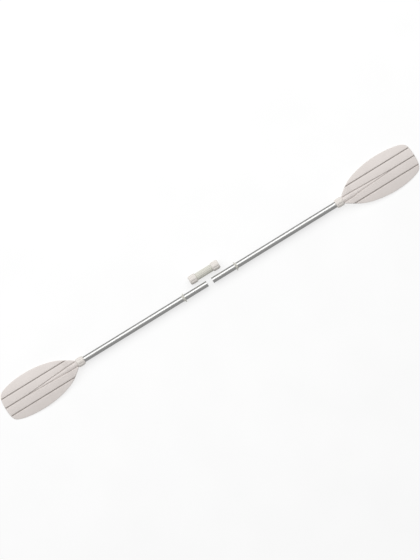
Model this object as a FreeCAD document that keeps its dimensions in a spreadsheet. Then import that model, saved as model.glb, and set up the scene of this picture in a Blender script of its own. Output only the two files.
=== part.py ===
import FreeCAD, Part
import math
import os
import Sketcher

# Two-piece kayak paddle, knocked down: two equal halves in line along X with a gap between their
# tube ends, and the joint sleeve lying beside the gap. +Z is up and the floor is Z = 0.
# Each half is drawn for the +X side, and the -X side is the same half turned 180 degrees about Z.

SIZES = (
    # alias, millimetres (or a count), meaning
    ("gap_half", 14.0, "paddle centre to each tube end"),
    ("half_length", 1100.0, "tube end to blade tip"),
    ("fitting_dia", 44.0, "nuts and drip rings, which the shaft lies on"),
    ("blade_length", 389.0, "shoulder to tip"),
    ("blade_width", 188.0, "widest chord"),
    ("blade_thick", 4.0, "moulded plate"),
    ("blade_arch", 490.0, "radius of the plate across"),
    ("blade_curl", 4785.0, "radius of the plate along"),
    ("tip_shift", 2.8, "middle of the tip edge, off the shaft axis"),
    ("groove_shift", 3.4, "middle groove and the spine's end, off the shaft axis"),
    ("groove_pitch", 44.9, "between the three grooves on the back"),
    ("groove_depth", 3.4, "below the back"),
    ("groove_width", 11.0, "at the surface"),
    ("rib_depth", 2.0, "under each groove, below the power face"),
    ("rib_foot", 14.0, "width of that rib at the power face"),
    ("rib_crest", 6.0, "width of that rib at its crest"),
    ("spine_length", 264.0, "shoulder to where the spine fades"),
    ("neck_length", 27.0, "shoulder to the mouth of the socket"),
    ("neck_dia", 34.4, "threaded neck and sleeve ends"),
    ("socket_dia", 28.16, "bore for the tube, 0.08 clear all round"),
    ("socket_past", 21.0, "socket depth past the shoulder"),
    ("tube_dia", 28.0, "aluminium tube"),
    ("tube_wall", 1.4, "tube wall"),
    ("tube_past", 17.0, "tube end past the shoulder"),
    ("grip_dia", 28.16, "bores that slide on the tube"),
    ("nut_length", 37.0, "compression nut"),
    ("nut_gap", 4.0, "bare neck between nut and shoulder"),
    ("nut_bore", 35.0, "over the thread"),
    ("nut_mouth", 28.8, "over the tube"),
    ("nut_lip", 4.0, "wall that pushes the collet"),
    ("nut_round", 3.0, "chamfer at the mouth"),
    ("nut_end_round", 1.0, "chamfer at the open end"),
    ("nut_seat", 1.2, "foot of the collet's cone, outside the mouth"),
    ("flutes", 8, "finger flutes round each nut"),
    ("flute_dia", 14.0, "cutter for one flute"),
    ("flute_depth", 1.6, "below the nut's outside"),
    ("collet_length", 11.0, "split collet"),
    ("collet_play", 1.0, "lip to collet"),
    ("collet_dia", 33.6, "widest"),
    ("collet_end_dia", 30.2, "at both ends"),
    ("collet_slit", 2.0, "slit through one side"),
    ("seal_cord", 1.6, "O-ring section"),
    ("seal_back", 18.0, "mouth of neck or sleeve to the O-ring"),
    ("seal_room", 0.1, "O-ring groove, wider and deeper than the O-ring"),
    ("socket_cone", 6.0, "length of the cone that closes the collet"),
    ("socket_cone_step", 0.2, "cone's mouth inside the collet's widest radius"),
    ("sleeve_half", 65.0, "half the sleeve's length"),
    ("sleeve_aside", 52.5, "sleeve axis beside the shaft axis"),
    ("sleeve_core", 33.4, "between the ribs"),
    ("sleeve_ribbed", 35.0, "over the ribs"),
    ("sleeve_rib_run", 76.0, "length of the ribs"),
    ("ribs", 14, "ribs round the sleeve"),
    ("rib_width", 3.0, "each"),
    ("overrun", 1.0, "how far ribs and cuts run into their neighbours"),
    ("stop_dia", 24.0, "stop that both tubes meet"),
    ("stop_width", 4.0, "along the sleeve"),
    ("ring_place", 125.0, "tube end to drip ring"),
    ("ring_thick", 5.0, "flange of the drip ring"),
    ("ring_hub_dia", 33.0, "hub of the drip ring"),
    ("ring_hub", 6.0, "hub beyond the flange"),
    ("foam_length", 40.0, "plug in the joint end of the tube"),
    ("foam_back", 4.0, "tube end to plug"),
    ("cap_flange", 2.0, "cap on the blade end of the tube"),
    ("cap_spigot", 12.0, "cap inside the tube"),
)

# Edge of the blade as two B-splines from the shoulder to the middle of the tip: each pole is a
# fraction of blade_length from the shoulder and a fraction of blade_width from the shaft axis.
EDGE_LEFT = ((0, 0.106), (0.10, 0.293), (0.23, 0.426), (0.51, 0.532), (0.77, 0.505), (0.95, 0.426), (1, 0.319))
EDGE_RIGHT = ((0, -0.106), (0.12, -0.266), (0.23, -0.399), (0.53, -0.505), (0.76, -0.479), (0.93, -0.399), (1, -0.293))

# The spine on the blade, from the shoulder to where it fades: each section's place as a fraction of
# spine_length, then its half width and its height above the plate's middle as fractions of the neck's radius.
SPINE = ((0, 1, 0.96), (0.10, 0.95, 0.88), (0.32, 0.68, 0.33), (0.65, 0.40, 0.19), (1, 0.14, 0.12))

# The crease along each side of the spine: each section's place as a fraction of spine_length, its distance
# from the spine's middle as a fraction of the neck's radius, and its radius as a fraction of the grooves'.
CREASE = ((0.12, 0.80, 0.4), (0.32, 0.60, 0.7), (0.65, 0.32, 0.95), (1, 0.05, 1))

# A cut through a piece that is drawn from one end runs this many of its lengths.
THROUGH = 3

doc = FreeCAD.newDocument("kayak_paddle")
sheet = doc.addObject("Spreadsheet::Sheet", "dims")
for row, (alias, value, meaning) in enumerate(SIZES, start=1):
    sheet.set(f"A{row}", meaning)
    sheet.set(f"B{row}", str(value))
    sheet.setAlias(f"B{row}", alias)
doc.recompute()


class Size:
    """A value together with the sheet expression that gives it."""

    def __init__(self, value, text):
        self.value = float(value)
        self.text = text

    def __add__(self, other):
        other = size(other)
        return Size(self.value + other.value, f"({self.text} + {other.text})")

    def __sub__(self, other):
        other = size(other)
        return Size(self.value - other.value, f"({self.text} - {other.text})")

    def __mul__(self, other):
        other = size(other)
        return Size(self.value * other.value, f"({self.text} * {other.text})")

    def __truediv__(self, other):
        other = size(other)
        return Size(self.value / other.value, f"({self.text} / {other.text})")

    def __neg__(self):
        return Size(-self.value, f"(0 - {self.text})")


def size(number):
    """A plain number as a Size."""
    if isinstance(number, Size):
        return number
    return Size(number, f"{number}" if number >= 0 else f"(0 - {-number})")


SHEET = {alias: Size(value, f"dims.{alias}") for alias, value, meaning in SIZES}


def new_body(label, along, aside=0, turned=False):
    """A body whose own origin lies on the shaft or sleeve axis, with its own +X inwards or outwards."""
    body = doc.addObject("PartDesign::Body", label)
    body.Label = label
    body.Placement = FreeCAD.Placement(
        FreeCAD.Vector(0, 0, 0), FreeCAD.Rotation(FreeCAD.Vector(0, 0, 1), 180 if turned else 0)
    )
    body.setExpression("Placement.Base.x", size(along).text)
    body.setExpression("Placement.Base.y", size(aside).text)
    body.setExpression("Placement.Base.z", (SHEET["fitting_dia"] / 2).text)
    return body


def new_sketch(body, name, plane, offset=0):
    """A sketch on one of the body's own origin planes, moved by offset along the plane's normal."""
    sketch = body.newObject("Sketcher::SketchObject", name)
    planes = {feature.Role: feature for feature in body.Origin.OriginFeatures}
    sketch.AttachmentSupport = [(planes[plane], "")]
    sketch.MapMode = "FlatFace"
    if isinstance(offset, Size):
        sketch.setExpression("AttachmentOffset.Base.z", offset.text)
    return sketch


def pin_point(sketch, geometry, end, across, up):
    """Dimension one point of a sketch from the sketch's origin."""
    origin = (-1, 1)
    axes = (("DistanceX", across, -2), ("DistanceY", up, -1))
    for kind, distance, axis in axes:
        distance = size(distance)
        if distance.value == 0:
            sketch.addConstraint(Sketcher.Constraint("PointOnObject", geometry, end, axis))
            continue
        index = sketch.addConstraint(Sketcher.Constraint(kind, *origin, geometry, end, distance.value))
        sketch.setExpression(f"Constraints[{index}]", distance.text)


def draw_loop(sketch, points):
    """A closed loop of straight lines through the points, each point dimensioned."""
    points = [(size(across), size(up)) for across, up in points]
    flat = [FreeCAD.Vector(across.value, up.value, 0) for across, up in points]
    lines = []
    for index, start in enumerate(flat):
        end = flat[(index + 1) % len(flat)]
        lines.append(sketch.addGeometry(Part.LineSegment(start, end)))
    for index, line in enumerate(lines):
        after = lines[(index + 1) % len(lines)]
        sketch.addConstraint(Sketcher.Constraint("Coincident", line, 2, after, 1))
        pin_point(sketch, line, 1, *points[index])
    return lines


def draw_circle(sketch, across, up, radius):
    """A circle with its centre and radius dimensioned."""
    across, up, radius = size(across), size(up), size(radius)
    centre = FreeCAD.Vector(across.value, up.value, 0)
    circle = sketch.addGeometry(Part.Circle(centre, FreeCAD.Vector(0, 0, 1), radius.value))
    pin_point(sketch, circle, 3, across, up)
    index = sketch.addConstraint(Sketcher.Constraint("Radius", circle, radius.value))
    sketch.setExpression(f"Constraints[{index}]", radius.text)
    return circle


def draw_edge(sketch, poles, free_end=False):
    """A B-spline with every pole dimensioned, but for its last one where that is free."""
    start_radius = 2.0
    circles = []
    for across, up in poles:
        centre = FreeCAD.Vector(across.value, up.value, 0)
        circle = Part.Circle(centre, FreeCAD.Vector(0, 0, 1), start_radius)
        circles.append(sketch.addGeometry(circle, True))
    flat = [FreeCAD.Vector(across.value, up.value, 0) for across, up in poles]
    curve = Part.BSplineCurve(flat, None, None, False, 3, None, False)
    spline = sketch.addGeometry(curve)
    for index, circle in enumerate(circles):
        sketch.addConstraint(
            Sketcher.Constraint("InternalAlignment:Sketcher::BSplineControlPoint", circle, 3, spline, index)
        )
        if index == 0:
            sketch.addConstraint(Sketcher.Constraint("Weight", circle, 1.0))
        else:
            sketch.addConstraint(Sketcher.Constraint("Equal", circles[0], circle))
        if not (free_end and circle == circles[-1]):
            pin_point(sketch, circle, 3, *poles[index])
    return spline


def draw_lens(sketch, across, up, half_width, height):
    """Two arcs that meet at a half width either side of a middle and bulge a height above and below it."""
    across, up = size(across), size(up)
    radius = (half_width * half_width + height * height) / (height * 2)
    lean = math.asin((radius - height).value / radius.value)
    arcs = []
    for sense, first, last in ((1, lean, math.pi - lean), (-1, math.pi + lean, math.tau - lean)):
        middle = up + (height - radius) * sense
        centre = FreeCAD.Vector(across.value, middle.value, 0)
        circle = Part.Circle(centre, FreeCAD.Vector(0, 0, 1), radius.value)
        arc = sketch.addGeometry(Part.ArcOfCircle(circle, first, last))
        pin_point(sketch, arc, 3, across, middle)
        index = sketch.addConstraint(Sketcher.Constraint("Radius", arc, radius.value))
        sketch.setExpression(f"Constraints[{index}]", radius.text)
        arcs.append(arc)
    sketch.addConstraint(Sketcher.Constraint("Coincident", arcs[0], 2, arcs[1], 1))
    sketch.addConstraint(Sketcher.Constraint("Coincident", arcs[1], 2, arcs[0], 1))


def turn_profile(body, kind, name, points):
    """Revolve a closed profile of (along X, radius) points about the body's X axis."""
    sketch = new_sketch(body, name + "_profile", "XZ_Plane")
    draw_loop(sketch, points)
    feature = body.newObject("PartDesign::" + kind, name)
    feature.Profile = sketch
    feature.ReferenceAxis = (sketch, ["H_Axis"])
    feature.Angle = 360
    sketch.Visibility = False
    return feature


def run_through(body, kind, name, sketch, length, symmetric=True, reverse=False):
    """Pad or pocket a sketch by a length, both ways from its plane unless told otherwise."""
    feature = body.newObject("PartDesign::" + kind, name)
    feature.Profile = sketch
    feature.SideType = "Symmetric" if symmetric else "One side"
    feature.Reversed = reverse
    feature.setExpression("Length", size(length).text)
    sketch.Visibility = False
    return feature


def repeat_round(body, feature, count):
    """Repeat a feature round the body's X axis."""
    pattern = body.newObject("PartDesign::PolarPattern", feature.Name + "_round")
    pattern.Originals = [feature]
    pattern.Axis = (feature.Profile[0], ["N_Axis"])
    pattern.Angle = 360
    pattern.setExpression("Occurrences", count.text)
    body.Tip = pattern
    return pattern


def make_tube(label, turned):
    s = SHEET
    body = new_body(label, 0, turned=turned)
    length = s["half_length"] - s["blade_length"] + s["tube_past"]
    sketch = new_sketch(body, label + "_section", "YZ_Plane", s["gap_half"])
    draw_circle(sketch, 0, 0, s["tube_dia"] / 2)
    draw_circle(sketch, 0, 0, s["tube_dia"] / 2 - s["tube_wall"])
    run_through(body, "Pad", label + "_pad", sketch, length, symmetric=False)


def make_foam_plug(label, turned):
    s = SHEET
    body = new_body(label, 0, turned=turned)
    sketch = new_sketch(body, label + "_section", "YZ_Plane", s["gap_half"] + s["foam_back"])
    draw_circle(sketch, 0, 0, s["tube_dia"] / 2 - s["tube_wall"])
    run_through(body, "Pad", label + "_pad", sketch, s["foam_length"], symmetric=False)


def make_end_cap(label, turned):
    s = SHEET
    body = new_body(label, 0, turned=turned)
    tube_end = s["gap_half"] + s["half_length"] - s["blade_length"] + s["tube_past"]
    inside = s["tube_dia"] / 2 - s["tube_wall"]
    turn_profile(body, "Revolution", label + "_turned", (
        (tube_end - s["cap_spigot"], 0),
        (tube_end - s["cap_spigot"], inside),
        (tube_end, inside),
        (tube_end, s["tube_dia"] / 2),
        (tube_end + s["cap_flange"], s["tube_dia"] / 2),
        (tube_end + s["cap_flange"], 0),
    ))


def make_drip_ring(label, turned):
    s = SHEET
    place = s["gap_half"] + s["ring_place"]
    body = new_body(label, -place if turned else place, turned=turned)
    bore = s["grip_dia"] / 2
    half = s["ring_thick"] / 2
    rim_slope = 0.8
    turn_profile(body, "Revolution", label + "_turned", (
        (-half, bore),
        (-half, s["fitting_dia"] / 2 - rim_slope),
        (-half + rim_slope, s["fitting_dia"] / 2),
        (half - rim_slope, s["fitting_dia"] / 2),
        (half, s["fitting_dia"] / 2 - rim_slope),
        (half, s["ring_hub_dia"] / 2),
        (half + s["ring_hub"], s["ring_hub_dia"] / 2 - rim_slope),
        (half + s["ring_hub"], bore),
    ))


def make_nut(label, mouth, aside=0, turned=False):
    """A compression nut: its own X runs from the mouth, where the tube enters, to the open end."""
    s = SHEET
    body = new_body(label, mouth, aside, turned)
    outside = s["fitting_dia"] / 2
    bore = s["nut_bore"] / 2
    cone = s["collet_length"] / 2
    end_round = s["nut_end_round"]
    turn_profile(body, "Revolution", label + "_turned", (
        (0, s["nut_mouth"] / 2),
        (0, outside - s["nut_round"]),
        (s["nut_round"], outside),
        (s["nut_length"] - end_round, outside),
        (s["nut_length"], outside - end_round),
        (s["nut_length"], bore),
        (s["nut_lip"] + cone, bore),
        (s["nut_lip"], s["nut_mouth"] / 2 + s["nut_seat"]),
        (s["nut_lip"], s["nut_mouth"] / 2),
    ))
    sketch = new_sketch(body, label + "_flute_section", "YZ_Plane")
    reach = outside - s["flute_depth"] + s["flute_dia"] / 2
    half_step = math.pi / s["flutes"].value
    draw_circle(sketch, reach * math.cos(half_step), reach * math.sin(half_step), s["flute_dia"] / 2)
    flute = run_through(body, "Pocket", label + "_flute", sketch, s["nut_length"] * THROUGH)
    repeat_round(body, flute, s["flutes"])


def make_collet(label, mouth, aside=0, turned=False, sign=1):
    """A split collet, placed from the mouth of its nut."""
    s = SHEET
    lead = s["nut_lip"] + s["collet_play"]
    body = new_body(label, mouth + lead * sign, aside, turned)
    bore = s["grip_dia"] / 2
    turn_profile(body, "Revolution", label + "_turned", (
        (0, bore),
        (0, s["collet_end_dia"] / 2),
        (s["collet_length"] / 2, s["collet_dia"] / 2),
        (s["collet_length"], s["collet_end_dia"] / 2),
        (s["collet_length"], bore),
    ))
    sketch = new_sketch(body, label + "_slit_section", "YZ_Plane")
    half = s["collet_slit"] / 2
    draw_loop(sketch, ((-half, half), (half, half), (half, s["collet_dia"]), (-half, s["collet_dia"])))
    run_through(body, "Pocket", label + "_slit", sketch, s["collet_length"] * THROUGH)


def make_seal(label, place, aside=0):
    s = SHEET
    body = new_body(label, place, aside)
    cord = s["seal_cord"] / 2
    sketch = new_sketch(body, label + "_cord", "XZ_Plane")
    draw_circle(sketch, 0, s["grip_dia"] / 2 + cord, cord)
    ring = body.newObject("PartDesign::Revolution", label + "_ring")
    ring.Profile = sketch
    ring.ReferenceAxis = (sketch, ["H_Axis"])
    ring.Angle = 360
    sketch.Visibility = False


def socket_profile(mouth, bottom, inwards):
    """A socket from its mouth to its bottom, with the collet's cone and the O-ring groove."""
    s = SHEET
    bore = s["socket_dia"] / 2
    cone_mouth = s["collet_dia"] / 2 - s["socket_cone_step"]
    groove_middle = mouth + s["seal_back"] * inwards
    groove_half = (s["seal_cord"] / 2 + s["seal_room"]) * inwards
    groove_bottom = s["grip_dia"] / 2 + s["seal_cord"] + s["seal_room"]
    return (
        (mouth, 0),
        (mouth, cone_mouth),
        (mouth + s["socket_cone"] * inwards, bore),
        (groove_middle - groove_half, bore),
        (groove_middle - groove_half, groove_bottom),
        (groove_middle + groove_half, groove_bottom),
        (groove_middle + groove_half, bore),
        (bottom, bore),
        (bottom, 0),
    )


def make_blade(label, turned):
    s = SHEET
    body = new_body(label, 0, turned=turned)
    shoulder = s["gap_half"] + s["half_length"] - s["blade_length"]
    tip_room = 12.0
    side_room = 12.0

    # The plate: an arched strip turned about a far cross axis, so it curls down to the tip.
    half_thick = s["blade_thick"] / 2
    plate = new_sketch(body, label + "_arch", "YZ_Plane", shoulder)
    arch, curl = s["blade_arch"], s["blade_curl"]
    reach = s["blade_width"] / 2 + side_room
    middle = FreeCAD.Vector(0, -arch.value, 0)
    start = reach.value / arch.value
    arcs = []
    for radius in (arch + half_thick, arch - half_thick):
        circle = Part.Circle(middle, FreeCAD.Vector(0, 0, 1), radius.value)
        arc = plate.addGeometry(Part.ArcOfCircle(circle, math.pi / 2 - start, math.pi / 2 + start))
        pin_point(plate, arc, 3, 0, -arch)
        index = plate.addConstraint(Sketcher.Constraint("Radius", arc, radius.value))
        plate.setExpression(f"Constraints[{index}]", radius.text)
        for end, edge in ((1, reach), (2, -reach)):
            index = plate.addConstraint(Sketcher.Constraint("DistanceX", -1, 1, arc, end, edge.value))
            plate.setExpression(f"Constraints[{index}]", edge.text)
        arcs.append(arc)
    for end in (1, 2):
        points = [plate.getPoint(arc, end) for arc in arcs]
        side = plate.addGeometry(Part.LineSegment(*points))
        plate.addConstraint(Sketcher.Constraint("Coincident", side, 1, arcs[0], end))
        plate.addConstraint(Sketcher.Constraint("Coincident", side, 2, arcs[1], end))
    add_cross_axis(plate, curl)
    strip = body.newObject("PartDesign::Revolution", label + "_plate")
    strip.Profile = plate
    strip.ReferenceAxis = (plate, ["Axis0"])
    strip.setExpression("Angle", ((s["blade_length"] + tip_room) / curl * math.degrees(1)).text)
    plate.Visibility = False

    # Three grooves on the back, turned about the same axis.
    channels = new_sketch(body, label + "_grooves", "YZ_Plane", shoulder)
    width, depth = s["groove_width"], s["groove_depth"]
    cutter = (width * width / 4 + depth * depth) / (depth * 2)
    for step in (-1, 0, 1):
        across = s["groove_pitch"] * step + s["groove_shift"]
        drop = across * across / (arch * 2)
        draw_circle(channels, across, half_thick + cutter - depth - drop, cutter)
    add_cross_axis(channels, curl)
    cut = body.newObject("PartDesign::Groove", label + "_channels")
    cut.Profile = channels
    cut.ReferenceAxis = (channels, ["Axis0"])
    cut.setExpression("Angle", ((s["blade_length"] + tip_room * 2) / curl * math.degrees(1)).text)
    channels.Visibility = False

    # A rib under each groove keeps the wall thick.
    ribs = new_sketch(body, label + "_ribs", "YZ_Plane", shoulder)
    foot, crest = s["rib_foot"] / 2, s["rib_crest"] / 2
    for step in (-1, 0, 1):
        across = s["groove_pitch"] * step + s["groove_shift"]
        low = -(half_thick + s["rib_depth"] + across * across / (arch * 2))
        inside = low + s["rib_depth"] * 2
        draw_loop(ribs, ((across - crest, low), (across + crest, low), (across + foot, inside), (across - foot, inside)))
    add_cross_axis(ribs, curl)
    ridge = body.newObject("PartDesign::Revolution", label + "_ridges")
    ridge.Profile = ribs
    ridge.ReferenceAxis = (ribs, ["Axis0"])
    ridge.setExpression("Angle", ((s["blade_length"] + tip_room) / curl * math.degrees(1)).text)
    ribs.Visibility = False

    # The outline, cut straight down through the plate.
    outline = new_sketch(body, label + "_outline", "XY_Plane")
    tip = shoulder + s["blade_length"]
    far = s["blade_width"] / 2 + side_room * 2
    draw_loop(outline, (
        (shoulder - tip_room, -far),
        (tip + tip_room * 2, -far),
        (tip + tip_room * 2, far),
        (shoulder - tip_room, far),
    ))
    edges = []
    for poles in (EDGE_LEFT, EDGE_RIGHT):
        placed = [(shoulder + s["blade_length"] * x, s["blade_width"] * y) for x, y in poles]
        placed.append((tip, s["tip_shift"]))
        edges.append(draw_edge(outline, placed, free_end=bool(edges)))
    base = outline.addGeometry(Part.LineSegment(outline.getPoint(edges[0], 1), outline.getPoint(edges[1], 1)))
    outline.addConstraint(Sketcher.Constraint("Coincident", base, 1, edges[0], 1))
    outline.addConstraint(Sketcher.Constraint("Coincident", base, 2, edges[1], 1))
    outline.addConstraint(Sketcher.Constraint("Coincident", edges[0], 2, edges[1], 2))
    run_through(body, "Pocket", label + "_trim", outline, s["blade_width"])

    # The spine: lens-shaped sections, round at the neck and then low and wide, that follow the curl.
    sections = []
    for step, (share, half_width, height) in enumerate(SPINE):
        along = s["spine_length"] * share
        section = new_sketch(body, f"{label}_spine_{step}", "YZ_Plane", shoulder + along)
        neck = s["neck_dia"] / 2
        draw_lens(section, s["groove_shift"] * share, -(along * along / (curl * 2)), neck * half_width, neck * height)
        section.Visibility = False
        sections.append(section)
    spine = body.newObject("PartDesign::AdditiveLoft", label + "_spine")
    spine.Profile = sections[0]
    spine.Sections = sections[1:]

    # A crease along each side of the spine; the two meet in the middle groove.
    for side, sense in (("left", 1), ("right", -1)):
        sections = []
        for step, (share, beside, breadth) in enumerate(CREASE):
            along = s["spine_length"] * share
            across = s["groove_shift"] * share + s["neck_dia"] / 2 * beside * sense
            drop = along * along / (curl * 2)
            radius = cutter * breadth
            section = new_sketch(body, f"{label}_{side}_crease_{step}", "YZ_Plane", shoulder + along)
            draw_circle(section, across, half_thick + radius - depth - drop, radius)
            section.Visibility = False
            sections.append(section)
        crease = body.newObject("PartDesign::SubtractiveLoft", f"{label}_{side}_crease")
        crease.Profile = sections[0]
        crease.Sections = sections[1:]

    # The threaded neck, then the socket through neck and root.
    mouth = shoulder - s["neck_length"]
    turn_profile(body, "Revolution", label + "_neck", (
        (mouth, 0),
        (mouth, s["neck_dia"] / 2),
        (shoulder + half_thick, s["neck_dia"] / 2),
        (shoulder + half_thick, 0),
    ))
    turn_profile(body, "Groove", label + "_socket", socket_profile(mouth, shoulder + s["socket_past"], 1))


def add_cross_axis(sketch, radius):
    """A construction line across the sketch, this far below its origin, to turn the blade about."""
    half_line = 50.0
    low = -radius
    left = FreeCAD.Vector(-half_line, low.value, 0)
    right = FreeCAD.Vector(half_line, low.value, 0)
    line = sketch.addGeometry(Part.LineSegment(left, right), True)
    pin_point(sketch, line, 1, -half_line, low)
    pin_point(sketch, line, 2, half_line, low)


def make_sleeve(label):
    s = SHEET
    body = new_body(label, 0, s["sleeve_aside"])
    half = s["sleeve_half"]
    thread = half - s["neck_length"]
    turn_profile(body, "Revolution", label + "_turned", (
        (-half, 0),
        (-half, s["neck_dia"] / 2),
        (-thread, s["neck_dia"] / 2),
        (-thread, s["sleeve_core"] / 2),
        (thread, s["sleeve_core"] / 2),
        (thread, s["neck_dia"] / 2),
        (half, s["neck_dia"] / 2),
        (half, 0),
    ))
    sketch = new_sketch(body, label + "_rib_section", "YZ_Plane")
    half_rib = s["rib_width"] / 2
    root = s["sleeve_core"] / 2 - s["overrun"]
    draw_loop(sketch, (
        (-half_rib, root),
        (half_rib, root),
        (half_rib, s["sleeve_ribbed"] / 2),
        (-half_rib, s["sleeve_ribbed"] / 2),
    ))
    rib = run_through(body, "Pad", label + "_rib", sketch, s["sleeve_rib_run"])
    repeat_round(body, rib, s["ribs"])
    stop = s["stop_width"] / 2
    past_stop = stop + s["overrun"]
    turn_profile(body, "Groove", label + "_socket_right", socket_profile(half, stop, -1))
    turn_profile(body, "Groove", label + "_socket_left", socket_profile(-half, -stop, 1))
    turn_profile(body, "Groove", label + "_stop", (
        (-past_stop, 0),
        (-past_stop, s["stop_dia"] / 2),
        (past_stop, s["stop_dia"] / 2),
        (past_stop, 0),
    ))


shoulder_place = SHEET["gap_half"] + SHEET["half_length"] - SHEET["blade_length"]
blade_nut_mouth = shoulder_place - SHEET["nut_gap"] - SHEET["nut_length"]
blade_seal_place = shoulder_place - SHEET["neck_length"] + SHEET["seal_back"]
for side, sign in (("right", 1), ("left", -1)):
    turned = sign < 0
    make_tube(f"{side}_shaft_tube", turned)
    make_foam_plug(f"{side}_foam_plug", turned)
    make_end_cap(f"{side}_tube_cap", turned)
    make_drip_ring(f"{side}_drip_ring", turned)
    make_blade(f"{side}_blade", turned)
    make_nut(f"{side}_blade_nut", blade_nut_mouth * sign, turned=turned)
    make_collet(f"{side}_blade_collet", blade_nut_mouth * sign, turned=turned, sign=sign)
    make_seal(f"{side}_blade_seal", blade_seal_place * sign)

sleeve_mouth = SHEET["sleeve_half"] - SHEET["neck_length"] + SHEET["nut_gap"] + SHEET["nut_length"]
sleeve_seal_place = SHEET["sleeve_half"] - SHEET["seal_back"]
make_sleeve("joint_sleeve")
for side, sign in (("right", 1), ("left", -1)):
    turned = sign > 0
    aside = SHEET["sleeve_aside"]
    make_nut(f"sleeve_{side}_nut", sleeve_mouth * sign, aside, turned)
    make_collet(f"sleeve_{side}_collet", sleeve_mouth * sign, aside, turned, sign=-sign)
    make_seal(f"sleeve_{side}_seal", sleeve_seal_place * sign, aside)

doc.recompute()

os.makedirs("parts", exist_ok=True)
for item in doc.Objects:
    if "Invalid" in item.State or "Error" in item.State:
        raise RuntimeError(f"{item.Label} did not compute: {item.State}")
for body in doc.findObjects("PartDesign::Body"):
    if body.Shape.isNull() or not body.Shape.isValid() or len(body.Shape.Solids) != 1:
        raise RuntimeError(f"{body.Label} is not one valid solid")
    body.Shape.exportStep(f"parts/{body.Label}.step")
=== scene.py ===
import math

import bmesh
import bpy
from mathutils import Matrix, Vector, geometry


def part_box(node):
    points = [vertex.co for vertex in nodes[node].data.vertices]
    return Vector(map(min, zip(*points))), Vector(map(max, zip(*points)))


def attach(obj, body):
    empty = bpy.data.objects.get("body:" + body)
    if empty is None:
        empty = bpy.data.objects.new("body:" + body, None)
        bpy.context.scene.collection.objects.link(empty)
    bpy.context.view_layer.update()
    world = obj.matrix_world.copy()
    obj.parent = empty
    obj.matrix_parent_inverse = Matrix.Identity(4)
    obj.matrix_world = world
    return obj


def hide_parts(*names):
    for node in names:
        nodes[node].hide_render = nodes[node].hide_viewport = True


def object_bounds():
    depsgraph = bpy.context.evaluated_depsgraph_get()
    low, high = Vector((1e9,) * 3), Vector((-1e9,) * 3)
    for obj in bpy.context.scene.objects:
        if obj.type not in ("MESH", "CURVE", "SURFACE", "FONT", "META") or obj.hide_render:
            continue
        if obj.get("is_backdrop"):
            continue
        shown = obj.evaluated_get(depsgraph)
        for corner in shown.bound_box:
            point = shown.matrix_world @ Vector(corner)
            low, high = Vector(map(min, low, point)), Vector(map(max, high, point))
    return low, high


# A two-piece kayak paddle lying knocked down on a pale floor, seen from straight above.
# Metres, +X along the shaft to the right blade, +Y to the joint sleeve's side, +Z up.
# Pieces of the left half are the right half's, turned half a turn about +Z.

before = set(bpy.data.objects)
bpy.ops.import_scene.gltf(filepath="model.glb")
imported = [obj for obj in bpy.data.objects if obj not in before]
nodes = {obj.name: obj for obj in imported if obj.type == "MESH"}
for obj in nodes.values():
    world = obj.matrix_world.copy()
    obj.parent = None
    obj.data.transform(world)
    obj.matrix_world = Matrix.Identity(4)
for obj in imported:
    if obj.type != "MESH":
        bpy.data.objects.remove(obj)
cad_low, cad_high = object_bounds()

MM = 0.001

# The CAD pieces' boxes, read from the frame.
tube_low, tube_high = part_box("right_shaft_tube")
blade_low, blade_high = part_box("right_blade")
nut_low, nut_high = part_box("right_blade_nut")
ring_low, ring_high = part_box("right_drip_ring")
sleeve_low, sleeve_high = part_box("joint_sleeve")
AXIS_Z = (tube_low.z + tube_high.z) / 2
TUBE_R = (tube_high.z - tube_low.z) / 2
FITTING_R = (ring_high.z - ring_low.z) / 2
NUT_LENGTH = nut_high.x - nut_low.x

# Neck, socket and sleeve ends are alike: a thread outside, and inside a cone at the mouth, a plain bore
# for the tube and a groove for the O-ring.
NECK_LENGTH = 27 * MM
NECK_R = 17.2 * MM
SOCKET_R = 14.08 * MM
CONE_R = 16.6 * MM
CONE_LENGTH = 6 * MM
SEAL_BACK = 18 * MM
SEAL_HALF = 0.9 * MM
SEAL_R = SOCKET_R + 1.7 * MM
THREAD_PITCH = 3 * MM
THREAD_DEPTH = 0.7 * MM
# The share of half a pitch that is flat at the thread's crest, and again at its bottom.
THREAD_FLAT = 0.1875
# The length over which a thread or a rib fades in. A point within ON_RADIUS below the neck's radius is on its
# outside, and one within SAME_RADIUS of a radius is on it.
RUN_IN = 2 * MM
ON_RADIUS = 0.2 * MM
SAME_RADIUS = 0.01 * MM

# The blade's plate: its widest chord, its thickness, its radii across and along, and how far the middle
# of its tip is off the shaft axis. The chord is a hair under the CAD's, so that the edge stays in its box.
SHOULDER = blade_low.x + NECK_LENGTH
BLADE_LENGTH = blade_high.x - SHOULDER
BLADE_WIDTH = 187.97 * MM
BLADE_THICK = 4 * MM
BLADE_ARCH = 490 * MM
BLADE_CURL = 4785 * MM
TIP_SHIFT = 2.8 * MM

TUBE_WALL = 1.4 * MM
RING_HALF = 2.5 * MM

TURNED = Matrix.Rotation(math.pi, 4, "Z")
# Steps round each turned piece, and steps along one pitch of its thread.
NECK_SEGMENTS = 64
ROUND_SEGMENTS = 72
NUT_SEGMENTS = 96
SLEEVE_SEGMENTS = 112
NECK_PARTS = 8
THREAD_PARTS = 6
SHARP_ANGLE = math.radians(35)
# The share of a side that a rounded corner may use up.
CORNER_REACH = 0.45


# ---------------------------------------------------------------- mesh helpers

def finish_mesh(name, mesh, body, material, replaced):
    """Link a mesh as a piece that rides on a body and stands for a CAD node."""
    mesh.validate()
    for polygon in mesh.polygons:
        polygon.use_smooth = True
    mesh.set_sharp_from_angle(angle=SHARP_ANGLE)
    mesh.materials.append(material)
    piece = bpy.data.objects.new(name, mesh)
    bpy.context.collection.objects.link(piece)
    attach(piece, body)
    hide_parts(replaced)


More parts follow.
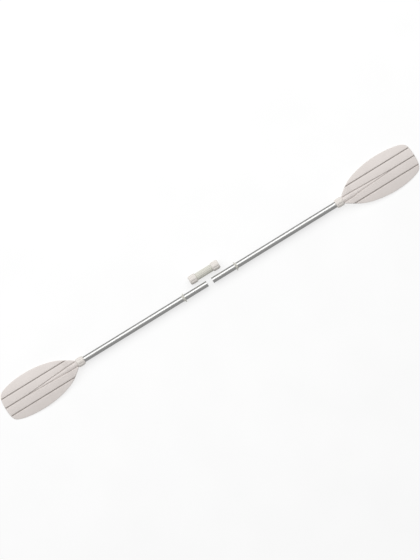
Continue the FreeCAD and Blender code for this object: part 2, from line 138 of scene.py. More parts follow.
def soften(corners, steps=4):
    """A closed loop of (x, r) points with each corner (x, r, radius) rounded by an arc."""
    loop = []
    count = len(corners)
    for index, (x, r, radius) in enumerate(corners):
        here = Vector((x, r))
        before = Vector(corners[index - 1][:2]) - here
        after = Vector(corners[(index + 1) % count][:2]) - here
        if radius <= 0:
            loop.append((x, r))
            continue
        half = before.angle(after) / 2
        reach = min(radius / math.tan(half), before.length * CORNER_REACH, after.length * CORNER_REACH)
        true_radius = reach * math.tan(half)
        start = here + before.normalized() * reach
        end = here + after.normalized() * reach
        inwards = (before.normalized() + after.normalized()).normalized()
        centre = here + inwards * (true_radius / math.sin(half))
        first = start - centre
        last = end - centre
        sweep = math.atan2(first.x * last.y - first.y * last.x, first.dot(last))
        for step in range(steps + 1):
            angle = sweep * step / steps
            turned = Matrix.Rotation(angle, 2) @ first
            loop.append(tuple(centre + turned))
    return loop


def divide(loop, longest):
    """Split a closed loop's runs so that no run is longer than this along X."""
    result = []
    for index, (x, r) in enumerate(loop):
        next_x, next_r = loop[(index + 1) % len(loop)]
        parts = max(1, math.ceil(abs(next_x - x) / longest))
        for part in range(parts):
            share = part / parts
            result.append((x + (next_x - x) * share, r + (next_r - r) * share))
    return result


def lathe(name, loop, segments, relief=None):
    """A closed (x, r) loop turned about X, its radius altered by relief(x, r, angle)."""
    verts = []
    for segment in range(segments):
        angle = math.tau * segment / segments
        for x, r in loop:
            radius = relief(x, r, angle) if relief else r
            verts.append((x, radius * math.cos(angle), radius * math.sin(angle)))
    count = len(loop)
    faces = []
    for segment in range(segments):
        this = segment * count
        following = (segment + 1) % segments * count
        for index in range(count):
            after = (index + 1) % count
            faces.append((this + index, this + after, following + after, following + index))
    mesh = bpy.data.meshes.new(name)
    mesh.from_pydata(verts, [], faces)
    fix = bmesh.new()
    fix.from_mesh(mesh)
    bmesh.ops.recalc_face_normals(fix, faces=fix.faces)
    fix.to_mesh(mesh)
    fix.free()
    return mesh


def thread(x, angle, depth):
    """How far the surface is below the crest of a thread of this depth, at this place along and round it."""
    phase = (x / THREAD_PITCH - angle / math.tau) % 1
    flank = abs(phase * 2 - 1)
    return depth * min(1.0, max(0.0, (flank - THREAD_FLAT) / (1 - 2 * THREAD_FLAT)))


def smooth_step(value):
    """0 below 0, 1 above 1, and a smooth rise between."""
    value = min(1.0, max(0.0, value))
    return value * value * (3 - 2 * value)


# ---------------------------------------------------------------- materials

PLASTIC_IOR = 1.49
PLASTIC_SPECULAR = 0.45


def new_material(name):
    """A material with its node tree and its shader."""
    material = bpy.data.materials.new(name)
    material.use_nodes = True
    return material, material.node_tree, material.node_tree.nodes["Principled BSDF"]


def add_noise(tree, scale, detail=2.0, stretch=(1, 1, 1)):
    """Noise in the piece's own coordinates; stretch under 1 draws it out along that axis."""
    place = tree.nodes.new("ShaderNodeTexCoord")
    mapping = tree.nodes.new("ShaderNodeMapping")
    mapping.inputs["Scale"].default_value = stretch
    noise = tree.nodes.new("ShaderNodeTexNoise")
    noise.inputs["Scale"].default_value = scale
    noise.inputs["Detail"].default_value = detail
    tree.links.new(place.outputs["Object"], mapping.inputs["Vector"])
    tree.links.new(mapping.outputs["Vector"], noise.inputs["Vector"])
    return noise.outputs["Fac"]


def spread(tree, value, low, high, from_low=0.3, from_high=0.7):
    """Map a noise value to a range of numbers."""
    node = tree.nodes.new("ShaderNodeMapRange")
    node.inputs["From Min"].default_value = from_low
    node.inputs["From Max"].default_value = from_high
    node.inputs["To Min"].default_value = low
    node.inputs["To Max"].default_value = high
    tree.links.new(value, node.inputs["Value"])
    return node.outputs["Result"]


def mix_colour(tree, factor, first, second):
    """A colour between two others, each of them an RGB triple or a socket."""
    node = tree.nodes.new("ShaderNodeMix")
    node.data_type = "RGBA"
    tree.links.new(factor, node.inputs["Factor"])
    for socket, colour in (("A", first), ("B", second)):
        target = [entry for entry in node.inputs if entry.name == socket and entry.type == "RGBA"][0]
        if isinstance(colour, bpy.types.NodeSocket):
            tree.links.new(colour, target)
        else:
            target.default_value = (*colour, 1)
    return [entry for entry in node.outputs if entry.type == "RGBA"][0]


def add_bump(tree, shader, height, distance, strength=0.6, under=None):
    """Fine relief on a shader, on top of the relief under it."""
    bump = tree.nodes.new("ShaderNodeBump")
    bump.inputs["Strength"].default_value = strength
    bump.inputs["Distance"].default_value = distance
    tree.links.new(height, bump.inputs["Height"])
    if under:
        tree.links.new(under, bump.inputs["Normal"])
    tree.links.new(bump.outputs["Normal"], shader.inputs["Normal"])
    return bump.outputs["Normal"]


def moulded_plastic(name, colour, shade, roughness, grain, painted_groove_shade=None):
    """Satin moulded plastic: slow colour drift, fine spark-eroded grain, uneven gloss, and grooves darkened
    by painted shade.
    """
    material, tree, shader = new_material(name)
    drift = spread(tree, add_noise(tree, scale=14, detail=3), 0, 1)
    shader_colour = mix_colour(tree, drift, colour, shade)
    if painted_groove_shade:
        # Painted shade: the mesh's shade attribute darkens the colour towards the groove colour in grooves
        # and creases.
        depth = tree.nodes.new("ShaderNodeAttribute")
        depth.attribute_name = "shade"
        shader_colour = mix_colour(tree, depth.outputs["Fac"], shader_colour, painted_groove_shade)
    tree.links.new(shader_colour, shader.inputs["Base Color"])
    gloss = spread(tree, add_noise(tree, scale=55, detail=3), roughness - 0.05, roughness + 0.06)
    tree.links.new(gloss, shader.inputs["Roughness"])
    waves = add_bump(tree, shader, add_noise(tree, scale=60), distance=0.25 * MM * grain)
    add_bump(tree, shader, add_noise(tree, scale=1400), distance=0.06 * MM * grain, under=waves)
    shader.inputs["IOR"].default_value = PLASTIC_IOR
    shader.inputs["Specular IOR Level"].default_value = PLASTIC_SPECULAR
    return material


def drawn_aluminium(name):
    """Anodised drawn tube: fine lines along X, and a slow change of gloss."""
    material, tree, shader = new_material(name)
    shader.inputs["Metallic"].default_value = 1.0
    lines = add_noise(tree, scale=900, stretch=(0.012, 1, 1))
    cloud = add_noise(tree, scale=22, detail=3, stretch=(0.3, 1, 1))
    colour = mix_colour(tree, spread(tree, lines, 0, 1), (0.57, 0.57, 0.56), (0.65, 0.65, 0.64))
    tree.links.new(colour, shader.inputs["Base Color"])
    tree.links.new(spread(tree, cloud, 0.34, 0.41), shader.inputs["Roughness"])
    add_bump(tree, shader, lines, distance=0.04 * MM, strength=0.5)
    return material


def soft_rubber(name, colour, shade, roughness):
    """Moulded rubber: a fine mottle and a fine grain."""
    material, tree, shader = new_material(name)
    mottle = spread(tree, add_noise(tree, scale=120, detail=3), 0, 1)
    tree.links.new(mix_colour(tree, mottle, colour, shade), shader.inputs["Base Color"])
    gloss = spread(tree, add_noise(tree, scale=300), roughness - 0.06, roughness + 0.06)
    tree.links.new(gloss, shader.inputs["Roughness"])
    add_bump(tree, shader, add_noise(tree, scale=900, detail=3), distance=0.1 * MM)
    return material


def cell_foam(name):
    """Closed-cell foam: small round cells."""
    material, tree, shader = new_material(name)
    cells = tree.nodes.new("ShaderNodeTexVoronoi")
    cells.inputs["Scale"].default_value = 700
    place = tree.nodes.new("ShaderNodeTexCoord")
    tree.links.new(place.outputs["Object"], cells.inputs["Vector"])
    wall = spread(tree, cells.outputs["Distance"], 0, 1, from_low=0.1, from_high=0.6)
    colour = mix_colour(tree, wall, (0.10, 0.10, 0.11), (0.20, 0.20, 0.21))
    tree.links.new(colour, shader.inputs["Base Color"])
    shader.inputs["Roughness"].default_value = 0.9
    add_bump(tree, shader, cells.outputs["Distance"], distance=0.4 * MM, strength=0.8)
    return material


# Each plastic: name, its two colours, roughness, grain.
# The blade's grooves and creases get a painted shade: a dark brown mixed in by the mesh's shade attribute.
BLADE_PLASTIC = moulded_plastic(
    "blade_plastic", (0.77, 0.715, 0.685), (0.74, 0.685, 0.655), 0.45, 1.0, painted_groove_shade=(0.38, 0.34, 0.32)
)
NUT_PLASTIC = moulded_plastic("nut_plastic", (0.78, 0.74, 0.70), (0.75, 0.71, 0.67), 0.40, 0.7)
SLEEVE_PLASTIC = moulded_plastic("sleeve_plastic", (0.68, 0.67, 0.605), (0.65, 0.64, 0.575), 0.42, 0.7)
COLLET_PLASTIC = moulded_plastic("collet_plastic", (0.78, 0.78, 0.75), (0.74, 0.74, 0.71), 0.35, 0.5)
CAP_PLASTIC = moulded_plastic("cap_plastic", (0.03, 0.03, 0.03), (0.045, 0.045, 0.045), 0.5, 0.8)
ALUMINIUM = drawn_aluminium("tube_aluminium")
RING_RUBBER = soft_rubber("ring_rubber", (0.64, 0.63, 0.58), (0.59, 0.58, 0.53), 0.36)
SEAL_RUBBER = soft_rubber("seal_rubber", (0.02, 0.02, 0.02), (0.03, 0.03, 0.03), 0.5)
FOAM = cell_foam("foam")

# CAD pieces that stay as they are, by how their names end.
KEPT_NODES = {
    "collet": COLLET_PLASTIC,
    "seal": SEAL_RUBBER,
    "foam_plug": FOAM,
    "tube_cap": CAP_PLASTIC,
}
for node_name, node in nodes.items():
    for ending, material in KEPT_NODES.items():
        if node_name.endswith(ending):
            for material_slot in node.material_slots:
                material_slot.material = material


# ---------------------------------------------------------------- blade

# Poles of the blade's two edges, from the shoulder to the middle of the tip: fractions of the
# blade's length from the shoulder and of its width from the shaft axis.
EDGE_LEFT = (
    (0, 0.106),
    (0.10, 0.293),
    (0.23, 0.426),
    (0.51, 0.532),
    (0.77, 0.505),
    (0.95, 0.426),
    (1, 0.319),
)
EDGE_RIGHT = (
    (0, -0.106),
    (0.12, -0.266),
    (0.23, -0.399),
    (0.53, -0.505),
    (0.76, -0.479),
    (0.93, -0.399),
    (1, -0.293),
)
EDGE_STEPS = 90
# The edge is rounded over EDGE_ROUND by rings of quads at these shares of it.
EDGE_ROUND = 2.4 * MM
EDGE_RINGS = (0, 0.04, 0.16, 0.36, 0.66, 1.0)
# Points inside the innermost ring keep this far off the outline.
KEEP_OFF = 3.6 * MM

# Three grooves run along the back, the middle one off the shaft axis by GROOVE_SHIFT. Each is a narrow
# slot in the middle of a shallow wide dip, and fades out within GROOVE_FADE of the edge.
GROOVE_SHIFT = 3.4 * MM
GROOVE_PITCH = 44.9 * MM
GROOVE_FADE = 4 * MM
SLOT_DEPTH = 2.8 * MM
SLOT_HALF = 3.0 * MM
SLOT_STEEP = 1.8
DIP_DEPTH = 0.9 * MM
DIP_HALF = 8.0 * MM
# A rib under each groove, on the power face.
RIB_HEIGHT = 1.8 * MM
RIB_HALF = 7.5 * MM
RIB_STEEP = 1.4

# Tables of (distance from the shoulder, value). The spine's half width out to its creases, and its height:
SPINE_LENGTH = 264 * MM
SPINE_HALVES = (
    (0, 12.6 * MM),
    (45 * MM, 12.3 * MM),
    (80 * MM, 9.8 * MM),
    (200 * MM, 4.0 * MM),
    (SPINE_LENGTH, 0),
)
SPINE_RISES = (
    (0, 3.5 * MM),
    (22 * MM, 3.5 * MM),
    (60 * MM, 2.6 * MM),
    (180 * MM, 1.4 * MM),
    (SPINE_LENGTH, 0),
)
# The spine is sunk below the plate, and a short wall at each crease leads up to the plate.
SPINE_SINKS = (
    (0, 2.2 * MM),
    (22 * MM, 2.2 * MM),
    (50 * MM, 3.2 * MM),
    (180 * MM, 3.0 * MM),
    (SPINE_LENGTH, 0),
)
CREASE_WALL = 3.6 * MM
# The creases' share of the grooves' depth and painted shade. It grows to all of it over the spine's last
# part.
CREASE_SHARE = 0.4
CREASE_JOIN = 0.8
# The half width and the height of the socket's bulge on the power face: a half round up to NECK_END, which
# turns into a parabola by ARCH_START.
FACE_HALVES = (
    (0, NECK_R),
    (SPINE_LENGTH, 0),
)
FACE_HEIGHTS = (
    (0, 17.2 * MM),
    (23 * MM, 15.4 * MM),
    (90 * MM, 5.0 * MM),
    (180 * MM, 1.5 * MM),
    (SPINE_LENGTH, 0),
)
NECK_END = 23 * MM
ARCH_START = 45 * MM
# The root is a thick block around the socket that slopes down to the plate; its top's edges are rounded.
ROOT_HEIGHT = 14.4 * MM
ROOT_BLOCK = 21 * MM
ROOT_END = 68 * MM
ROOT_ROUND = 3 * MM

# Where the mesh has points across the blade: in rows ROW_STEP apart, at these distances from the middle of
# each groove and crease, at these from the spine's middle, and at these shares of the bulge's half width.
ROW_STEP = 5 * MM
SPINE_PARTS = 6
GROOVE_GAPS = (0.7, 1.35, 1.7, 2.1, 2.5, 3.0, 4.5, 6, 8)
GROOVE_LINES = [side * gap * MM for gap in GROOVE_GAPS for side in (-1, 1)] + [0]
OPEN_LINES = [gap * MM for gap in (22, 28, 35, 57, 63, 69, 75, 82, 89)]
BULGE_LINES = (-1, -0.97, -0.88, 0.88, 0.97, 1)
# What Blender's triangulation takes: triangles inside the loop only, and points this near are one.
INSIDE_ONLY = 1
MERGE_NEAR = 1e-7
# Points this near the shoulder are on it.
BASE_NEAR = 0.001 * MM
# The last place on a B-spline, and the shortest run that can be divided by.
SPLINE_END = 1 - 1e-9
NO_RUN = 1e-12


def b_spline(poles, count):
    """Points of a clamped cubic B-spline with even knots."""
    degree = 3
    spans = len(poles) - degree
    knots = [0] * degree + [k / spans for k in range(spans + 1)] + [1] * degree
    points = []
    for step in range(count + 1):
        at = min(step / count, SPLINE_END)
        span = max(k for k in range(len(knots) - 1) if knots[k] <= at < knots[k + 1])
        work = [Vector(poles[span - degree + k]) for k in range(degree + 1)]
        for level in range(1, degree + 1):
            for k in range(degree, level - 1, -1):
                low = knots[span - degree + k]
                high = knots[span + 1 + k - level]
                share = (at - low) / (high - low)
                work[k] = work[k - 1] * (1 - share) + work[k] * share
        points.append(work[degree])
    return points


def edge_points(poles, count):
    """Points along one edge of the blade, from the shoulder to the middle of the tip."""
    placed = [(BLADE_LENGTH * u, BLADE_WIDTH * v) for u, v in poles]
    placed.append((BLADE_LENGTH, TIP_SHIFT))
    return b_spline(placed, count)


def centre_line(u):
    """The spine's middle: on the shaft axis at the shoulder, in the middle groove at its end."""
    return GROOVE_SHIFT * min(1.0, u / SPINE_LENGTH)


def middle_height(u, v):
    """Height of the blade's middle surface above the shaft axis."""
    curl = BLADE_CURL - math.sqrt(BLADE_CURL ** 2 - u ** 2)
    arch = BLADE_ARCH - math.sqrt(BLADE_ARCH ** 2 - v ** 2)
    return -curl - arch


def along_table(table, u):
    """Interpolated value of a table of (place, value)."""
    if u <= table[0][0]:
        return table[0][1]
    for (start, first), (end, last) in zip(table, table[1:]):
        if u <= end:
            return first + (last - first) * (u - start) / (end - start)
    return table[-1][1]


def round_over(gap, radius):
    """The share of full height on a quarter round of this radius, this far in from its edge."""
    return math.sqrt(1 - (1 - min(1.0, gap / radius)) ** 2)


def slot_share(offset):
    """1 in a groove's bottom, 0 outside its slot."""
    return smooth_step((1 - abs(offset) / SLOT_HALF) * SLOT_STEEP)


def channel(offset):
    """Depth of a groove at this distance from its middle."""
    slot = SLOT_DEPTH * slot_share(offset)
    return slot + DIP_DEPTH * smooth_step(1 - abs(offset) / DIP_HALF)


def back_height(u, v, edge_share, edge_gap):
    """Height of the back above the middle surface; edge_share is the rounding of the plate's edge here."""
    across = v - centre_line(u)
    half = along_table(SPINE_HALVES, u)
    rise = 0.0
    if abs(across) < half:
        rise = along_table(SPINE_RISES, u) * (1 - (across / half) ** 2)
    rise -= along_table(SPINE_SINKS, u) * (1 - smooth_step((abs(across) - half) / CREASE_WALL))
    depth = max(channel(gap) * share for gap, share in groove_gaps(u, v))
    depth *= smooth_step(edge_gap / GROOVE_FADE)
    slope = smooth_step((u - ROOT_BLOCK) / (ROOT_END - ROOT_BLOCK))
    root = (ROOT_HEIGHT - BLADE_THICK / 2) * (1 - slope)
    return (BLADE_THICK / 2 + rise - depth) * edge_share + root * round_over(edge_gap, ROOT_ROUND)


def groove_gaps(u, v):
    """Each groove's distance and share of full depth and painted shade; the two creases end as the middle
    groove.
    """
    across = v - centre_line(u)
    half = along_table(SPINE_HALVES, u)
    joined = smooth_step((u / SPINE_LENGTH - CREASE_JOIN) / (1 - CREASE_JOIN))
    crease = CREASE_SHARE + (1 - CREASE_SHARE) * joined
    return (
        (v - GROOVE_SHIFT - GROOVE_PITCH, 1.0),
        (v - GROOVE_SHIFT + GROOVE_PITCH, 1.0),
        (across - half, crease),
        (across + half, crease),
    )


def painted_shade_of(u, v):
    """How much painted shade a groove puts on the surface here: 0 on the plate, 1 in a groove's bottom."""
    return max(slot_share(gap) * share for gap, share in groove_gaps(u, v))


def face_depth(u, v, edge_share):
    """Depth of the power face below the middle surface: ribs under the grooves and the socket's bulge."""
    plate = BLADE_THICK / 2
    for step in (-1, 0, 1):
        offset = abs(v - GROOVE_SHIFT - GROOVE_PITCH * step) / RIB_HALF
        plate = max(plate, BLADE_THICK / 2 + RIB_HEIGHT * smooth_step((1 - offset) * RIB_STEEP))
    half = along_table(FACE_HALVES, u)
    across = v - centre_line(u)
    bulge = 0.0
    if abs(across) < half:
        blend = smooth_step((u - NECK_END) / (ARCH_START - NECK_END))
        power = 0.5 + 0.5 * blend
        bulge = along_table(FACE_HEIGHTS, u) * (1 - (across / half) ** 2) ** power
    return max(plate * edge_share, bulge)


def blade_mesh(name):
    """The plate with its spine: rings of quads round the edge, and triangles inside them."""
    left = edge_points(EDGE_LEFT, EDGE_STEPS)
    right = edge_points(EDGE_RIGHT, EDGE_STEPS)
    outline = left + right[-2::-1]
    total = len(outline)
    insets = [EDGE_ROUND * share for share in EDGE_RINGS]
    rings = [inset_ring(outline, inset) for inset in insets]
    points = list(rings[-1])
    gaps = [insets[-1]] * total
    for point in inner_points():
        if inside_outline(point, left, right):
            gap = min((point - edge).length for edge in outline)
            if gap > KEEP_OFF:
                points.append(point)
                gaps.append(gap)
    loop_edges = [(k, (k + 1) % total) for k in range(total)]
    cut = geometry.delaunay_2d_cdt(points, loop_edges, [], INSIDE_ONLY, MERGE_NEAR)
    flat, _, triangles, sources, _, _ = cut

    runs = zip(outline, outline[1:])
    root_edge = [(start, end) for start, end in runs if min(start.x, end.x) < ROOT_END]
    verts = []
    painted_shades = []

    def add_vertex(u, v, height, shade=0.0):
        verts.append((SHOULDER + u, v, height))
        painted_shades.append(shade)
        return len(verts) - 1

    def add_pair(point, gap):
        """A vertex on the back and one on the power face."""
        u, v = point
        rounding = round_over(gap, EDGE_ROUND)
        middle = middle_height(u, v)
        # Painted shade for the grooves, faded out on the rounded edge.
        shade = painted_shade_of(u, v) * rounding
        back = add_vertex(u, v, middle + back_height(u, v, rounding, gap), shade)
        face = add_vertex(u, v, middle - face_depth(u, v, rounding))
        return back, face

    ring_pairs = []
    for inset, ring in zip(insets[:-1], rings[:-1]):
        if inset:
            ring_pairs.append([add_pair(point, inset) for point in ring])
        else:
            rim = [add_vertex(point.x, point.y, middle_height(*point)) for point in ring]
            ring_pairs.append([(index, index) for index in rim])
    inner_pairs = []
    innermost = [None] * total
    for vertex, origin in zip(flat, sources):
        gap = gaps[origin[0]] if origin else EDGE_ROUND
        if vertex.x < ROOT_END and gap > EDGE_ROUND:
            gap = gap_to_edge(vertex, root_edge)
        inner_pairs.append(add_pair(vertex, gap))
        if origin and min(origin) < total:
            innermost[min(origin)] = inner_pairs[-1]
    ring_pairs.append(innermost)

    faces = []
    for triangle in triangles:
        faces.append(tuple(inner_pairs[k][0] for k in triangle))
        faces.append(tuple(inner_pairs[k][1] for k in reversed(triangle)))
    for outer, inner in zip(ring_pairs, ring_pairs[1:]):
        for k in range(total - 1):
            quad = (inner[k], inner[k + 1], outer[k + 1], outer[k])
            faces.append(tuple(pair[0] for pair in quad))
            faces.append(tuple(pair[1] for pair in reversed(quad)))

    # The flat end at the shoulder, from the back down to the face, or down to the neck where that is.
    base = {pair for ring in ring_pairs for pair in (ring[0], ring[-1])}
    base.update(pair for vertex, pair in zip(flat, inner_pairs) if vertex.x < BASE_NEAR)
    edge_of_end = []
    for back, face in sorted(base, key=lambda pair: verts[pair[0]][1]):
        v = verts[back][1]
        if abs(v) < NECK_R - BASE_NEAR:
            face = add_vertex(0, v, math.sqrt(NECK_R ** 2 - v ** 2))
        edge_of_end.append((back, face))
    for (back, face), (next_back, next_face) in zip(edge_of_end, edge_of_end[1:]):
        height = verts[back][2] - verts[face][2]
        next_height = verts[next_back][2] - verts[next_face][2]
        if min(height, next_height) > 0:
            faces.append((back, face, next_face, next_back))
        elif back == face:
            faces.append((back, next_face, next_back))
        elif next_back == next_face:
            faces.append((back, face, next_back))
    mesh = bpy.data.meshes.new(name)
    mesh.from_pydata(verts, [], faces)
    # The painted shade is stored as the mesh's shade attribute, which the blade's material reads.
    mesh.attributes.new("shade", "FLOAT", "POINT").data.foreach_set("value", painted_shades)
    return mesh


def inset_ring(outline, inset):
    """The outline moved inwards; its two ends stay on the shoulder."""
    ring = []
    last = len(outline) - 1
    for index, point in enumerate(outline):
        if index in (0, last):
            ring.append(Vector((0, point.y - math.copysign(inset, point.y))))
            continue
        along = (outline[index + 1] - outline[index - 1]).normalized()
        ring.append(point + Vector((along.y, -along.x)) * inset)
    return ring


def inner_points():
    """Rows across the blade: lines over the spine, close lines over each groove, open lines between."""
    rows = round(BLADE_LENGTH / ROW_STEP)
    points = []
    for row in range(rows + 1):
        u = BLADE_LENGTH * row / rows
        line = centre_line(u)
        half = along_table(SPINE_HALVES, u)
        face_half = along_table(FACE_HALVES, u)
        across = {line}
        across.update(line + half * k / SPINE_PARTS for k in range(1 - SPINE_PARTS, SPINE_PARTS))
        across.update(line + face_half * share for share in BULGE_LINES)
        for side in (-1, 1):
            across.update(line + side * (half + gap) for gap in GROOVE_LINES)
            across.update(GROOVE_SHIFT + side * GROOVE_PITCH + gap for gap in GROOVE_LINES)
            across.update(line + side * gap for gap in OPEN_LINES)
        points.extend(Vector((u, v)) for v in sorted(across))
    return points


def gap_to_edge(point, runs):
    """Distance from a point to the nearest of some straight runs of the outline."""
    nearest = math.inf
    for start, end in runs:
        run = end - start
        share = min(1.0, max(0.0, (point - start).dot(run) / run.length_squared))
        nearest = min(nearest, (start + run * share - point).length)
    return nearest


def inside_outline(point, left, right):
    """True if the point lies between the two edges."""
    def edge_at(edge):
        """Where the edge is at the point's distance from the shoulder."""
        for before, after in zip(edge, edge[1:]):
            if before.x <= point.x <= after.x:
                share = (point.x - before.x) / max(after.x - before.x, NO_RUN)
                return before.y + (after.y - before.y) * share
        return 0.0
    return edge_at(right) < point.y < edge_at(left)


def neck_mesh(name):
    """The threaded neck and its socket, from the mouth to the socket's bottom inside the root."""
    mouth = blade_low.x
    bottom = SHOULDER + 21 * MM
    groove = mouth + SEAL_BACK
    wall = 1.0 * MM
    step = 0.5 * MM
    pinhole = 0.5 * MM
    bare_end = 3 * MM
    corners = (
        (mouth, CONE_R, 0.2 * MM),
        (mouth, NECK_R, 0.5 * MM),
        (SHOULDER, NECK_R, 0),
        (SHOULDER + step, NECK_R - wall, 0),
        (bottom + wall, SOCKET_R + wall, 0),
        (bottom + wall, pinhole, 0),
        (bottom, pinhole, 0),
        (bottom, SOCKET_R, 0),
        (groove + SEAL_HALF, SOCKET_R, 0),
        (groove + SEAL_HALF, SEAL_R, 0),
        (groove - SEAL_HALF, SEAL_R, 0),
        (groove - SEAL_HALF, SOCKET_R, 0),
        (mouth + CONE_LENGTH, SOCKET_R, 0),
    )
    loop = divide(soften(corners), THREAD_PITCH / NECK_PARTS)

    def relief(x, r, angle):
        if r > NECK_R - ON_RADIUS:
            run_in = smooth_step((x - mouth) / RUN_IN) * smooth_step((SHOULDER - bare_end - x) / RUN_IN)
            return r - thread(x, angle, THREAD_DEPTH) * run_in
        return r

    return lathe(name, loop, NECK_SEGMENTS, relief)


# ---------------------------------------------------------------- fittings

def nut_mesh(name):
    """A compression nut: its own X runs from the mouth to the open end."""
    length = NUT_LENGTH
    outside = FITTING_R
    bore = 17.5 * MM
    mouth = 14.4 * MM
    lip = 4 * MM
    flutes = 8
    flute_depth = 1.6 * MM
    flute_start = 5 * MM
    flute_end = length - 3 * MM
    flute_fade = 5 * MM
    # A flute starts where the wave round the nut passes flute_from, and is at full depth flute_over above.
    flute_from = -0.15
    flute_over = 1.1
    outer_skin = bore + 0.6 * MM
    thread_start = 12 * MM
    thread_end = length - 1 * MM
    thread_depth = THREAD_DEPTH * 0.8
    corners = (
        (0, mouth, 0.4 * MM),
        (0, 18.2 * MM, 2 * MM),
        (5 * MM, 21.2 * MM, 5 * MM),
        (14 * MM, outside, 12 * MM),
        (length - 6 * MM, outside, 5 * MM),
        (length, outside - 2.2 * MM, 1.5 * MM),
        (length, bore, 0.5 * MM),
        (lip + 5.5 * MM, bore, 0),
        (lip, mouth + 1.2 * MM, 0),
        (lip, mouth, 0.3 * MM),
    )
    loop = divide(soften(corners), THREAD_PITCH / THREAD_PARTS)

    def relief(x, r, angle):
        if r > outer_skin:
            wave = math.cos(flutes * (angle - math.pi / flutes))
            dip = smooth_step((wave - flute_from) / flute_over)
            fade = smooth_step((x - flute_start) / flute_fade) * smooth_step((flute_end - x) / flute_fade)
            return r - flute_depth * dip * fade
        if abs(r - bore) < SAME_RADIUS:
            run_in = smooth_step((x - thread_start) / RUN_IN) * smooth_step((thread_end - x) / RUN_IN)
            return r + thread(x, angle, thread_depth) * run_in
        return r

    return lathe(name, loop, NUT_SEGMENTS, relief)


def tube_mesh(name):
    """A shaft tube, its ends' edges slightly rounded."""
    inside = TUBE_R - TUBE_WALL
    corners = (
        (tube_low.x, inside, 0.3 * MM),
        (tube_low.x, TUBE_R, 0.4 * MM),
        (tube_high.x, TUBE_R, 0.3 * MM),
        (tube_high.x, inside, 0.3 * MM),
    )
    return lathe(name, soften(corners, steps=3), ROUND_SEGMENTS)


def ring_mesh(name):
    """A drip ring about its flange's middle."""
    bore = SOCKET_R
    half = RING_HALF
    hub = 6 * MM
    corners = (
        (-half, bore, 0.4 * MM),
        (-half, bore + 3 * MM, 0.5 * MM),
        (-half + 0.5 * MM, bore + 4.5 * MM, 1 * MM),
        (-half + 0.8 * MM, FITTING_R - 1.5 * MM, 1 * MM),
        (-half, FITTING_R, 1.0 * MM),
        (half - 1.0 * MM, FITTING_R, 1.0 * MM),
        (half, 16.5 * MM, 1.2 * MM),
        (half + hub, 15.8 * MM, 0.8 * MM),
        (half + hub, bore, 0.4 * MM),
    )
    return lathe(name, soften(corners), ROUND_SEGMENTS)


def sleeve_mesh(name):
    """The joint sleeve about its own middle: threaded ends, a ribbed middle, a stop inside."""
    half = (sleeve_high.x - sleeve_low.x) / 2
    thread_start = half - NECK_LENGTH
    core = 16.5 * MM
    ribbed = 17.5 * MM
    ribs = 14
    rib_end = 38 * MM
    # A rib starts where the wave round the sleeve passes rib_from, and is at full height rib_over above.
    rib_from = -0.55
    rib_over = 0.8
    stop_half = 2 * MM
    stop_r = 12 * MM
    step = 0.3 * MM
    bare_end = 1 * MM
    groove = half - SEAL_BACK
    right = [
        (thread_start, core, 0),
        (thread_start + step, NECK_R, 0.3 * MM),
        (half, NECK_R, 0.5 * MM),
        (half, CONE_R, 0.2 * MM),
        (half - CONE_LENGTH, SOCKET_R, 0),
        (groove + SEAL_HALF, SOCKET_R, 0),
        (groove + SEAL_HALF, SEAL_R, 0),
        (groove - SEAL_HALF, SEAL_R, 0),
        (groove - SEAL_HALF, SOCKET_R, 0),
        (stop_half, SOCKET_R, 0),
        (stop_half, stop_r, 0.4 * MM),
    ]
    left = [(-x, r, radius) for x, r, radius in reversed(right)]
    loop = divide(soften(right + left), THREAD_PITCH / THREAD_PARTS)

    def relief(x, r, angle):
        out = abs(x)
        if r >= core - SAME_RADIUS and out < thread_start:
            wave = math.cos(ribs * angle)
            rise = smooth_step((wave - rib_from) / rib_over)
            fade = smooth_step((rib_end - out) / RUN_IN)
            return r + (ribbed - core) * rise * fade
        if r > NECK_R - ON_RADIUS and out > thread_start:
            inner_run = smooth_step((out - thread_start - bare_end) / RUN_IN)
            run_in = smooth_step((half - out) / RUN_IN) * inner_run
            return r - thread(x, angle, THREAD_DEPTH) * run_in
        return r

    return lathe(name, loop, SLEEVE_SEGMENTS, relief)


def put(mesh, along=0.0, aside=0.0, turned=False):
    """Move a mesh built about the X axis to its place in the frame, turned half a turn first if asked."""
    place = Matrix.Translation((along, aside, AXIS_Z))
    if turned:
        place = place @ TURNED
    mesh.transform(place)
    return mesh


def join_meshes(name, first, second):
    """Two meshes as one; the blade's painted-shade attribute is kept."""
    both = bmesh.new()
    both.from_mesh(first)
    both.from_mesh(second)
    mesh = bpy.data.meshes.new(name)
    both.to_mesh(mesh)
    both.free()
    return mesh


for side, sign in (("right", 1), ("left", -1)):
    turned = side == "left"
    blade_name = f"{side}_blade"
    blade = put(join_meshes(f"{blade_name}_mesh", blade_mesh("plate"), neck_mesh("neck")), turned=turned)
    nut = put(nut_mesh("nut"), nut_low.x * sign, turned=turned)
    tube = put(tube_mesh("tube"), turned=turned)
    ring = put(ring_mesh("ring"), (ring_low.x + RING_HALF) * sign, turned=turned)
    finish_mesh(f"{blade_name}_shell", blade, blade_name, BLADE_PLASTIC, blade_name)
    finish_mesh(f"{side}_nut_shell", nut, f"{side}_nut", NUT_PLASTIC, f"{side}_blade_nut")
    finish_mesh(f"{side}_tube", tube, f"{side}_shaft", ALUMINIUM, f"{side}_shaft_tube")
    finish_mesh(f"{side}_ring", ring, f"{side}_drip_ring", RING_RUBBER, f"{side}_drip_ring")

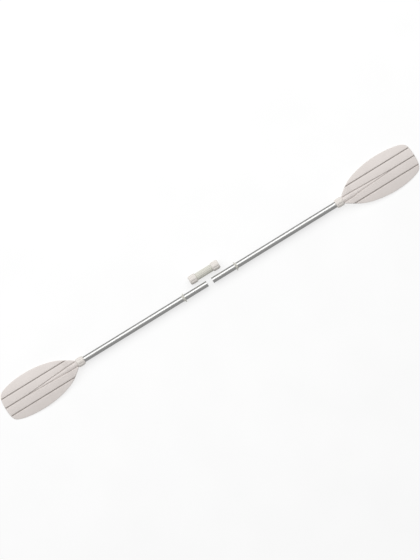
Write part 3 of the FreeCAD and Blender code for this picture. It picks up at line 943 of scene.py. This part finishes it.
sleeve_y = (sleeve_low.y + sleeve_high.y) / 2
sleeve = put(sleeve_mesh("sleeve"), aside=sleeve_y)
finish_mesh("sleeve_shell", sleeve, "sleeve", SLEEVE_PLASTIC, "joint_sleeve")
for side in ("right", "left"):
    nut_name = f"sleeve_{side}_nut"
    low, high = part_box(nut_name)
    mouth = high.x if side == "right" else low.x
    nut = put(nut_mesh("nut"), mouth, sleeve_y, turned=side == "right")
    finish_mesh(f"{nut_name}_shell", nut, nut_name, NUT_PLASTIC, nut_name)


# ---------------------------------------------------------------- stage, light and camera

WORLD_LIGHT = 0.40
KEY_LIGHT = 2.05
FLOOR_GLOW = 0.68
FLOOR_HALF = 12.0
# Straight down; the shaft rises to the right at SHAFT_TILT in the picture.
SHAFT_TILT = math.radians(31.6)
PICTURE_HEIGHT = 2.590
VIEW_MIDDLE = Vector((0.005, 0.0077, AXIS_Z))
LENS = 200
SENSOR = 36
CLIP_HEIGHTS = 4


def floor_material():
    """A pale matt floor with a little glow of its own, so that it comes out nearly white."""
    material, tree, shader = new_material("floor")
    patches = spread(tree, add_noise(tree, scale=3), 0, 1)
    tone = mix_colour(tree, patches, (0.34, 0.34, 0.34), (0.32, 0.32, 0.32))
    tree.links.new(tone, shader.inputs["Base Color"])
    shader.inputs["Emission Color"].default_value = (1, 1, 1, 1)
    shader.inputs["Emission Strength"].default_value = FLOOR_GLOW
    shader.inputs["Roughness"].default_value = 0.9
    shader.inputs["Specular IOR Level"].default_value = 0.1
    return material


square = ((-1, -1), (1, -1), (1, 1), (-1, 1))
floor_corners = [(x * FLOOR_HALF, y * FLOOR_HALF, cad_low.z) for x, y in square]
floor_mesh = bpy.data.meshes.new("floor")
floor_mesh.from_pydata(floor_corners, [], [(0, 1, 2, 3)])
floor_mesh.materials.append(floor_material())
floor = bpy.data.objects.new("floor", floor_mesh)
bpy.context.collection.objects.link(floor)
floor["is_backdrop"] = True
floor.visible_glossy = False

world = bpy.data.worlds.new("studio")
world.use_nodes = True
background = world.node_tree.nodes["Background"]
background.inputs["Color"].default_value = (1, 1, 1, 1)
background.inputs["Strength"].default_value = WORLD_LIGHT
bpy.context.scene.world = world
bpy.context.scene.view_settings.view_transform = "Standard"


def soft_box(name, tilt, distance, breadth, length, radiance):
    """A long area light on the sleeve's side: its tilt off the vertical, and its breadth in degrees."""
    light = bpy.data.lights.new(name, "AREA")
    light.shape = "RECTANGLE"
    light.size = length
    light.size_y = 2 * distance * math.tan(math.radians(breadth) / 2)
    light.energy = radiance * math.pi * light.size * light.size_y
    lamp = bpy.data.objects.new(name, light)
    angle = math.radians(tilt)
    lamp.location = (0, distance * math.sin(angle), distance * math.cos(angle))
    lamp.rotation_euler = (-angle, 0, 0)
    lamp.visible_camera = False
    bpy.context.collection.objects.link(lamp)


soft_box("key", tilt=36, distance=6, breadth=46, length=12, radiance=KEY_LIGHT)

camera_data = bpy.data.cameras.new("camera")
camera_data.lens = LENS
camera_data.sensor_width = SENSOR
camera = bpy.data.objects.new("camera", camera_data)
camera_height = PICTURE_HEIGHT * LENS / SENSOR
camera.location = VIEW_MIDDLE + Vector((0, 0, camera_height))
camera.rotation_euler = (0, 0, -SHAFT_TILT)
camera_data.clip_end = camera_height * CLIP_HEIGHTS
bpy.context.collection.objects.link(camera)
bpy.context.scene.camera = camera

low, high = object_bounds()
